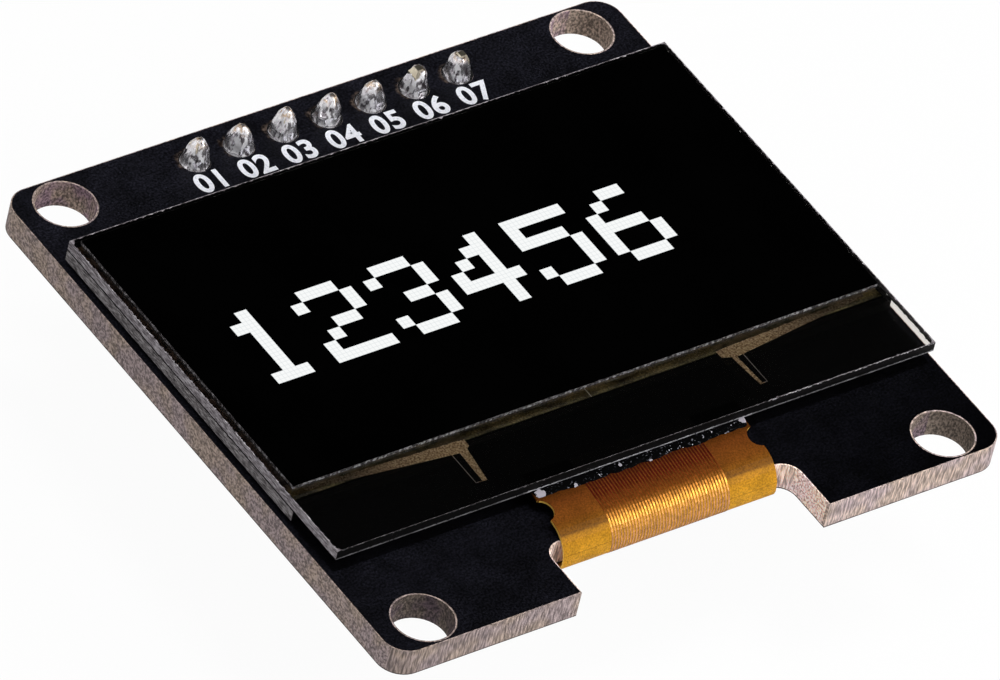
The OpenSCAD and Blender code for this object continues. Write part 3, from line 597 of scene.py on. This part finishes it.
dot = 0.23 * mm
square = 3 * dot
row_left, row_top = -14.3 * mm, 4.3 * mm
figure_rows = (
    ("00100", "01100", "00100", "00100", "00100", "00100", "01110"),
    ("01110", "10001", "00001", "00110", "01000", "10000", "11111"),
    ("01110", "10001", "00001", "00110", "00001", "10001", "01110"),
    ("00010", "00110", "01010", "10010", "11111", "00010", "00010"),
    ("11111", "10000", "11110", "00001", "00001", "10001", "01110"),
    ("00110", "01000", "10000", "11110", "10001", "10001", "01110"),
)
columns, rows = 6 * len(figure_rows), 7
figure_lift, figure_thickness = 0.002 * mm, 0.006 * mm
film_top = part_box("polariser")[1][2]
bpy.ops.mesh.primitive_grid_add(x_subdivisions=columns, y_subdivisions=rows, size=1,
                                location=(0, 0, 0))
lit_figures = bpy.context.object
lit_figures.name = "lit_figures"
lit_figures.scale = (columns * square, rows * square, 1)
lit_figures.location = (row_left + columns * square / 2, row_top - rows * square / 2,
                        film_top + figure_lift)
bpy.ops.object.transform_apply(location=True, rotation=True, scale=True)
bpy.ops.object.mode_set(mode="EDIT")
bpy.ops.mesh.select_mode(type="FACE")
bpy.ops.mesh.select_all(action="DESELECT")
bpy.ops.object.mode_set(mode="OBJECT")
for face in lit_figures.data.polygons:
    column = int((face.center.x - row_left) / square)
    row = int((row_top - face.center.y) / square)
    figure, stroke = divmod(column, 6)
    face.select = stroke == 5 or figure_rows[figure][row][stroke] == "0"
bpy.ops.object.mode_set(mode="EDIT")
bpy.ops.mesh.delete(type="FACE")
bpy.ops.mesh.select_all(action="SELECT")
bpy.ops.mesh.extrude_region_move(TRANSFORM_OT_translate={"value": (0, 0, figure_thickness)})
turn_faces_out()
glow = finish("lit_dots", (0.02, 0.02, 0.02), 0.4, 0.1)
tree = glow.node_tree
glow_xyz = axes(glow)
across = calculate(glow, "FRACT",
                   calculate(glow, "DIVIDE", calculate(glow, "SUBTRACT", glow_xyz["X"], row_left),
                             dot))
along = calculate(glow, "FRACT",
                  calculate(glow, "DIVIDE", calculate(glow, "SUBTRACT", row_top, glow_xyz["Y"]),
                            dot))
gap = calculate(glow, "MAXIMUM",
                calculate(glow, "ABSOLUTE", calculate(glow, "SUBTRACT", across, 0.5)),
                calculate(glow, "ABSOLUTE", calculate(glow, "SUBTRACT", along, 0.5)))
feed(glow, "Emission Color",
     ramp(glow, gap, (0.40, (0.92, 0.935, 0.93)), (0.47, (0.74, 0.77, 0.78))))
tree.nodes["Principled BSDF"].inputs["Emission Strength"].default_value = 1.0
lit_figures.data.materials.append(glow)
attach(lit_figures, "root")
lit_figures.select_set(False)

# Ledge films and driver chip ------------------------------------------------
# Thin metal on the underside of the ledge, dull brown gold, and the driver
# chip glued between the two metal bars and potted in black resin.
line_from, line_below, dull_edge = 8.25 * mm, -7.55 * mm, -7.19 * mm
fanout = finish("fanout_metal", (0.40, 0.30, 0.18), 0.55, 0.0)
fanout_xyz = axes(fanout)
from_middle = calculate(fanout, "ABSOLUTE", fanout_xyz["X"])
metal_tone = ramp(fanout, mottle(fanout, 0.10 * mm, 3), (0.36, (0.27, 0.175, 0.10)),
                  (0.50, (0.59, 0.42, 0.255)), (0.64, (0.90, 0.71, 0.48)))
outward = levels(fanout, calculate(fanout, "DIVIDE", from_middle, 20 * mm), (0.50, 1.0),
                 (0.68, 0.24))
metal_tone = brighten(fanout, metal_tone, outward)
dull_from = calculate(fanout, "MULTIPLY_ADD", from_middle, 0.045, dull_edge)
dull_from = calculate(fanout, "MULTIPLY_ADD", mottle(fanout, 0.35 * mm, 3), 0.14 * mm, dull_from)
is_dull = calculate(fanout, "GREATER_THAN", fanout_xyz["Y"], dull_from)
dull_tone = ramp(fanout, mottle(fanout, 0.30 * mm, 4, (0.5, 1, 1)), (0.38, (0.040, 0.034, 0.016)),
                 (0.60, (0.135, 0.094, 0.050)))
is_line = calculate(fanout, "MULTIPLY", calculate(fanout, "GREATER_THAN", from_middle, line_from),
                    calculate(fanout, "LESS_THAN", fanout_xyz["Y"], line_below))
feed(fanout, "Base Color",
     mix_colours(fanout, is_line, mix_colours(fanout, is_dull, metal_tone, dull_tone),
                 (0.52, 0.49, 0.49)))
fanout_metal = thinned_copy("fanout_film", "fanout_metal", 0.007 * mm)
etched_corners = (((7.25, -7.15), (7.30, -7.25)), ((7.80, -7.15), (7.50, -7.42)),
                  ((8.10, -7.15), (7.985, -7.50)), ((8.68, -7.15), (8.68, -7.42)),
                  ((16.15, -6.62), (16.15, -6.57)), ((7.80, -9.68), (7.80, -9.50)),
                  ((8.10, -9.61), (8.05, -9.44)), ((8.38, -9.61), (8.39, -9.44)),
                  ((8.45, -9.68), (8.42, -9.47)), ((8.38, -7.45), (8.39, -7.42)),
                  ((8.45, -7.45), (8.42, -7.42)))
corner_catch = 0.01 * mm
fine_stem = {7.50: 7.76, 7.80: 7.97, 7.985: 8.03, 8.05: 8.13}
for corner in fanout_metal.data.vertices:
    for (old_x, old_y), (new_x, new_y) in etched_corners:
        off_x, off_y = abs(corner.co.x) - old_x * mm, corner.co.y - old_y * mm
        if abs(off_x) < corner_catch and abs(off_y) < corner_catch:
            new_x = fine_stem.get(new_x, new_x) if corner.co.x > 0 else new_x
            corner.co.x, corner.co.y = math.copysign(new_x * mm, corner.co.x), new_y * mm
            break
fanout_metal.data.materials.append(fanout)
silicon = finish("driver_silicon", (0.002, 0.002, 0.0022), 0.5, 0.0)
feed(silicon, "Base Color",
     ramp(silicon, mottle(silicon, 0.2 * mm, 2), (0.3, (0.0003, 0.0003, 0.0004)),
          (0.7, (0.0007, 0.0007, 0.0008))))
put_on(silicon, "driver_chip")
dull_resin = finish("chip_resin", (0.0012, 0.0012, 0.0012), 0.7, 0.0)
feed(dull_resin, "Base Color",
     ramp(dull_resin, mottle(dull_resin, 0.5 * mm, 2), (0.3, (0.0003, 0.0003, 0.0003)),
          (0.7, (0.0007, 0.0006, 0.0006))))
put_on(dull_resin, "chip_resin", "flex_bond")

# Flex cable -----------------------------------------------------------------
# Amber polyimide film, glossy and a little see-through, painted dark as shade where it
# leaves the ledge over black and painted pale as light where it folds over the notch in
# front of light, with a painted shade line along the crease. Its copper traces are
# painted the same way, near black at the ledge and light at the fold.
cable_reach, crease_z = 3.25 * mm, 0.90 * mm
amber = finish("amber_film", (0.33, 0.16, 0.025), 0.36, 0.05)
amber_xyz = axes(amber)
amber_turn = axes(amber, "Normal")
down_cable = calculate(amber, "DIVIDE", calculate(amber, "SUBTRACT", glass_low[1], amber_xyz["Y"]),
                       cable_reach, clamp=True)
# Painted light and shade: near black where the cable leaves the ledge, painted pale where it folds
# over the notch in front of light.
painted_light_down_cable = ramp(amber, down_cable, (0.0, (0.002, 0.0015, 0.001)), (0.12, (0.060, 0.018, 0.002)),
                  (0.30, (0.130, 0.036, 0.006)), (0.60, (0.165, 0.052, 0.007)),
                  (0.80, (0.20, 0.078, 0.006)), (0.835, (0.42, 0.18, 0.010)),
                  (1.0, (0.62, 0.30, 0.022)))
film_grain = levels(amber, mottle(amber, 0.085 * mm, 2), (0.34, 0.72), (0.50, 1.0), (0.68, 1.25))
cloud_share = levels(amber, mottle(amber, 0.7 * mm, 4), (0.3, 0.84), (0.75, 1.14))
film_tone = brighten(amber, brighten(amber, painted_light_down_cable, film_grain), cloud_share)
crease_at = calculate(amber, "ABSOLUTE", calculate(amber, "SUBTRACT", amber_xyz["Z"], crease_z))
# Painted shade: a darker line along the crease.
painted_crease_shade = calculate(amber, "MULTIPLY", calculate(amber, "LESS_THAN", crease_at, 0.025 * mm), 0.35)
film_tone = mix_colours(amber, painted_crease_shade, film_tone, (0.16, 0.055, 0.004))
is_cut = calculate(amber, "MULTIPLY",
                   calculate(amber, "GREATER_THAN", calculate(amber, "ABSOLUTE", amber_turn["X"]),
                             0.35), calculate(amber, "GREATER_THAN", down_cable, 0.16))
feed(amber, "Base Color", mix_colours(amber, is_cut, film_tone, (0.88, 0.58, 0.12)))
relief(amber, mottle(amber, 0.6 * mm, 2, (0.3, 1, 1)), 0.01 * mm, 0.5)
put_on(amber, "flex_cable")

traces = finish("cable_copper", (0.52, 0.24, 0.055), 0.40, 0.03, 0.75)
trace_xyz = axes(traces)
down_trace = calculate(traces, "DIVIDE",
                       calculate(traces, "SUBTRACT", glass_low[1], trace_xyz["Y"]), cable_reach,
                       clamp=True)
# Painted light and shade: the traces go from near black at the ledge to painted light at the fold.
painted_trace_light_and_shade = ramp(traces, down_trace, (0.0, (0.002, 0.0015, 0.001)), (0.16, (0.045, 0.006, 0.003)),
                  (0.40, (0.105, 0.009, 0.005)), (0.66, (0.30, 0.080, 0.014)),
                  (0.84, (0.66, 0.30, 0.050)), (1.0, (0.56, 0.27, 0.13)))
glint = levels(traces, mottle(traces, 0.16 * mm, 3, (1, 1, 0.5)), (0.35, 0.70), (0.52, 1.0),
               (0.68, 1.35))
feed(traces, "Base Color", brighten(traces, painted_trace_light_and_shade, glint))
feed(traces, "Metallic", calculate(traces, "MULTIPLY", down_trace, 0.95))
feed(traces, "Roughness", levels(traces, mottle(traces, 0.3 * mm, 3), (0.3, 0.34), (0.7, 0.50)))
put_on(traces, "flex_traces")

# Cable resin ----------------------------------------------------------------
# Black resin run along the joint of the glass and the cable by hand: a low bead
# with a wandering edge, small pale specks painted on as sparkle highlights, and a few
# pale spots.
bead_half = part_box("joint_resin")[1][0] + 0.08 * mm
bead_reach, bead_thickness = 0.52 * mm, 0.05 * mm
cable_top, cable_slope, bead_lift = 2.303 * mm, 0.154, 0.012 * mm
bpy.ops.mesh.primitive_grid_add(x_subdivisions=150, y_subdivisions=9, size=1, location=(0, 0, 0))
bead = bpy.context.object
bead.name = "cable_resin"
for corner in bead.data.vertices:
    along, across = corner.co.x * 2, 0.5 - corner.co.y
    x = along * bead_half
    wander = (noise.noise(Vector((x / (1.3 * mm), 0.7, 0)))
              + 0.5 * noise.noise(Vector((x / (0.42 * mm), 3.1, 0))))
    end_round = math.sqrt(max(0, 1 - max(0, (abs(along) - 0.955) / 0.045) ** 2))
    reach = bead_reach * (1 + 0.28 * wander) * (0.25 + 0.75 * end_round)
    lump = noise.noise(Vector((x / (0.5 * mm), across * 2.4, 5)))
    y = glass_low[1] - reach * across
    on_cable = cable_top + cable_slope * (y - glass_low[1]) + bead_lift
    crown = 0.015 * mm * (1 - across) + 0.055 * mm * math.sin(math.pi * across)
    rise = crown * (1 + 0.35 * lump)
    corner.co = (x, y, on_cable + rise * (0.4 + 0.6 * end_round))
turn_faces_out()
body = bead.modifiers.new("body", "SOLIDIFY")
body.thickness = bead_thickness
body.offset = -1
bpy.ops.object.modifier_apply(modifier=body.name)
bpy.ops.object.shade_smooth_by_angle(angle=math.radians(50))
resin = finish("black_resin", (0.002, 0.002, 0.002), 0.25, 0.01)
tree = resin.node_tree
resin_place = tree.nodes.new("ShaderNodeTexCoord")
# Painted highlights: small pale specks stand in for sparkle on the glossy resin.
painted_sparkle = levels(resin, mottle(resin, 0.11 * mm, 3), (0.62, 0), (0.68, 1))
sparkle_tone = ramp(resin, mottle(resin, 0.6 * mm, 2), (0.38, (0.010, 0.010, 0.014)),
                   (0.50, (0.10, 0.10, 0.12)), (0.62, (0.60, 0.58, 0.66)))
resin_tone = mix_colours(resin, painted_sparkle, (0.0018, 0.0018, 0.0020), sparkle_tone)
pale_spots = (((-5.80, -11.10, 2.36), 0.25), ((4.75, -11.42, 2.24), 0.15),
            ((5.98, -10.96, 2.43), 0.24), ((-3.9, -11.30, 2.27), 0.11),
            ((-1.2, -11.05, 2.33), 0.08), ((0.4, -11.35, 2.25), 0.08))
for place, size in pale_spots:
    from_pale_spot = tree.nodes.new("ShaderNodeVectorMath")
    from_pale_spot.operation = "DISTANCE"
    from_pale_spot.inputs[1].default_value = [value * mm for value in place]
    tree.links.new(resin_place.outputs["Object"], from_pale_spot.inputs[0])
    rough_size = calculate(resin, "MULTIPLY", mottle(resin, 0.16 * mm, 3), 2 * size * mm)
    in_pale_spot = calculate(resin, "LESS_THAN", from_pale_spot.outputs["Value"], rough_size)
    resin_tone = mix_colours(resin, in_pale_spot, resin_tone, (0.36, 0.34, 0.38))
feed(resin, "Base Color", resin_tone)
relief(resin, mottle(resin, 0.35 * mm, 2), 0.04 * mm, 0.6)
bead.data.materials.append(resin)
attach(bead, "root")
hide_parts("joint_resin")
bead.select_set(False)

# Header pins and strip ------------------------------------------------------
# Seven square tinned pins, cut to length, pressed through a moulded black
# strip behind the board.
tinned = finish("tinned_pin", (0.78, 0.70, 0.56), 0.28, 0.5, 0.95)
feed(tinned, "Base Color",
     ramp(tinned, mottle(tinned, 0.3 * mm, 4, (1, 1, 0.2)), (0.3, (0.60, 0.51, 0.37)),
          (0.7, (0.88, 0.80, 0.64))))
relief(tinned, mottle(tinned, 0.08 * mm, 2, (1, 1, 0.1)), 0.006 * mm, 0.5)
put_on(tinned, *[f"header_pin_{number}" for number in pin_numbers])
put_on(tinned, "regulator_leads", "diode_leads")
moulded = finish("moulded_black", (0.012, 0.012, 0.013), 0.55, 0.35)
feed(moulded, "Base Color",
     ramp(moulded, mottle(moulded, 0.25 * mm, 4), (0.3, (0.008, 0.008, 0.009)),
          (0.7, (0.022, 0.022, 0.024))))
relief(moulded, mottle(moulded, 0.10 * mm, 4), 0.01 * mm, 0.8)
put_on(moulded, "header_strip", "regulator_body", "diode_body", "resistor_bodies")

# Pin solder -----------------------------------------------------------------
# Each pin is soldered by hand on the front face: an egg of bright solder, drawn
# up the pin in long folds, which closes over some of the pins' bevelled ends. The faces
# turned to the front left carry a painted white highlight, and the grooves of the folds
# are painted darker as shade.
solder = finish("hand_solder", (0.80, 0.77, 0.80), 0.2, 0.5, 0.86)
tree = solder.node_tree
solder_place = tree.nodes.new("ShaderNodeTexCoord")
solder_xyz = axes(solder)
drawn = mottle(solder, 0.26 * mm, 2, (1, 1, 0.38))
# Painted shade: the grooves of the drawn folds are painted darker.
fold_painted_shade = ramp(solder, drawn, (0.33, (0.20, 0.17, 0.19)), (0.45, (0.70, 0.67, 0.71)),
              (0.60, (0.96, 0.94, 0.97)))
up_egg = calculate(solder, "DIVIDE", calculate(solder, "SUBTRACT", solder_xyz["Z"], lacquer_top),
                   1.3 * mm, clamp=True)
tip_flux = calculate(solder, "MULTIPLY", levels(solder, up_egg, (0.72, 0), (0.92, 1)),
                     levels(solder, mottle(solder, 0.25 * mm, 2), (0.42, 0), (0.55, 1)))
# Painted highlight: faces turned to the front left are painted near white and less metallic.
turned = tree.nodes.new("ShaderNodeVectorMath")
turned.operation = "DOT_PRODUCT"
turned.inputs[1].default_value = (-0.66, -0.62, 0.42)
tree.links.new(solder_place.outputs["Normal"], turned.inputs[0])
painted_front_highlight = calculate(solder, "MULTIPLY",
                    levels(solder, turned.outputs["Value"], (0.72, 0), (0.86, 1)),
                    levels(solder, mottle(solder, 0.20 * mm, 3, (1, 1, 0.45)), (0.47, 0),
                           (0.56, 1)))
solder_tone = mix_colours(solder, tip_flux, fold_painted_shade, (0.52, 0.40, 0.30))
feed(solder, "Base Color", mix_colours(solder, painted_front_highlight, solder_tone, (0.96, 0.95, 0.98)))
feed(solder, "Metallic", calculate(solder, "MULTIPLY_ADD", painted_front_highlight, -0.66, 0.86))
shine = levels(solder, mottle(solder, 0.34 * mm, 2), (0.35, 0.10), (0.7, 0.34))
feed(solder, "Roughness", mix_colours(solder, painted_front_highlight, shine, (0.45, 0.45, 0.45)))
relief(solder, drawn, 0.05 * mm, 0.8)
folds = bpy.data.textures.new("frozen_folds", "CLOUDS")
folds.noise_scale = 0.58 * mm
folds.noise_depth = 1
closed_egg = ((0, 1.04), (0.06, 1.02), (0.11, 0.93), (0.18, 0.96), (0.32, 0.90), (0.50, 0.78),
              (0.66, 0.66), (0.80, 0.47), (0.92, 0.31), (1, 0.12))
open_egg = ((0, 1.03), (0.07, 1.01), (0.12, 0.92), (0.20, 0.95), (0.38, 0.88), (0.58, 0.78),
            (0.80, 0.67), (0.92, 0.54), (1, 0.42))
over_pin, short_of_end, foot_sink = 0.18 * mm, 0.06 * mm, 0.01 * mm
loops = 18
for number in pin_numbers:
    low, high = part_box(f"solder_joint_{number}")
    middle_x, middle_y = (low[0] + high[0]) / 2, (low[1] + high[1]) / 2
    pin_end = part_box(f"header_pin_{number}")[1][2]
    closed = number < 6
    girth = 0.85 if number == 6 else 0.91
    foot_z = lacquer_top
    top_z = pin_end + over_pin if closed else pin_end - short_of_end
    outline = closed_egg if closed else open_egg
    rise = top_z - foot_z
    bpy.ops.mesh.primitive_cylinder_add(vertices=40, radius=(high[0] - low[0]) / 2, depth=rise,
                                        location=(middle_x, middle_y, foot_z + rise / 2))
    blob = bpy.context.object
    blob.name = f"pin_solder_{number}"
    bpy.ops.object.transform_apply(location=True, rotation=True, scale=True)
    bpy.ops.object.mode_set(mode="EDIT")
    for level in range(1, loops):
        level_z = foot_z + rise * level / loops
        bpy.ops.mesh.select_all(action="SELECT")
        bpy.ops.mesh.bisect(plane_co=(middle_x, middle_y, level_z), plane_no=(0, 0, 1))
    bpy.ops.object.mode_set(mode="OBJECT")
    for corner in blob.data.vertices:
        share = min(max((corner.co.z - foot_z) / rise, 0), 1)
        for (below, narrow), (above, wide) in zip(outline, outline[1:]):
            if share <= above:
                width = narrow + (wide - narrow) * (share - below) / (above - below)
                break
        turn = math.atan2(corner.co.y - middle_y, corner.co.x - middle_x)
        width *= girth * (1 + 0.06 * math.sin(2 * turn + 1.7 * number)
                          + 0.035 * math.sin(5 * turn + 2.1 * number + 2 * share)
                          + 0.02 * math.sin(9 * turn + 0.9 * number))
        lean_x = 0.09 * mm * share * math.sin(2.3 * number)
        lean_y = 0.07 * mm * share * math.cos(1.9 * number)
        corner.co.x = middle_x + (corner.co.x - middle_x) * width + lean_x
        corner.co.y = middle_y + (corner.co.y - middle_y) * width + lean_y
    shaped = blob.modifiers.new("folds", "DISPLACE")
    shaped.texture = folds
    shaped.texture_coords = "GLOBAL"
    shaped.strength = 0.15 * mm
    shaped.mid_level = 0.55
    bpy.ops.object.modifier_apply(modifier=shaped.name)
    for corner in blob.data.vertices:
        corner.co.z = min(max(corner.co.z, foot_z - foot_sink), top_z)
    turn_faces_out()
    bpy.ops.object.shade_smooth_by_angle(angle=math.radians(60))
    blob.data.materials.append(solder)
    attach(blob, "root")
    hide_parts(f"solder_joint_{number}")
    blob.select_set(False)

# Copper and soldered parts behind the board ---------------------------------
# Tinned rings round the pin holes, bare copper pads, and the small parts
# soldered on the rear face.
copper = finish("bare_copper", (0.62, 0.36, 0.16), 0.32, 0.5, 1.0)
feed(copper, "Base Color",
     ramp(copper, mottle(copper, 0.4 * mm, 3), (0.3, (0.50, 0.27, 0.11)),
          (0.7, (0.74, 0.46, 0.22))))
put_on(copper, "rear_pads")
machine_solder = finish("reflowed_solder", (0.70, 0.69, 0.69), 0.25, 0.5, 1.0)
feed(machine_solder, "Base Color",
     ramp(machine_solder, mottle(machine_solder, 0.2 * mm, 3), (0.3, (0.55, 0.54, 0.55)),
          (0.7, (0.80, 0.79, 0.80))))
relief(machine_solder, mottle(machine_solder, 0.15 * mm, 3), 0.02 * mm, 0.5)
put_on(machine_solder, "plated_holes", "flex_solder", "capacitor_ends", "resistor_ends",
       "chip_part_solder")
ceramic = finish("fired_ceramic", (0.46, 0.32, 0.20), 0.5, 0.4)
feed(ceramic, "Base Color",
     ramp(ceramic, mottle(ceramic, 0.2 * mm, 3), (0.3, (0.38, 0.25, 0.15)),
          (0.7, (0.54, 0.39, 0.26))))
put_on(ceramic, "capacitor_bodies")
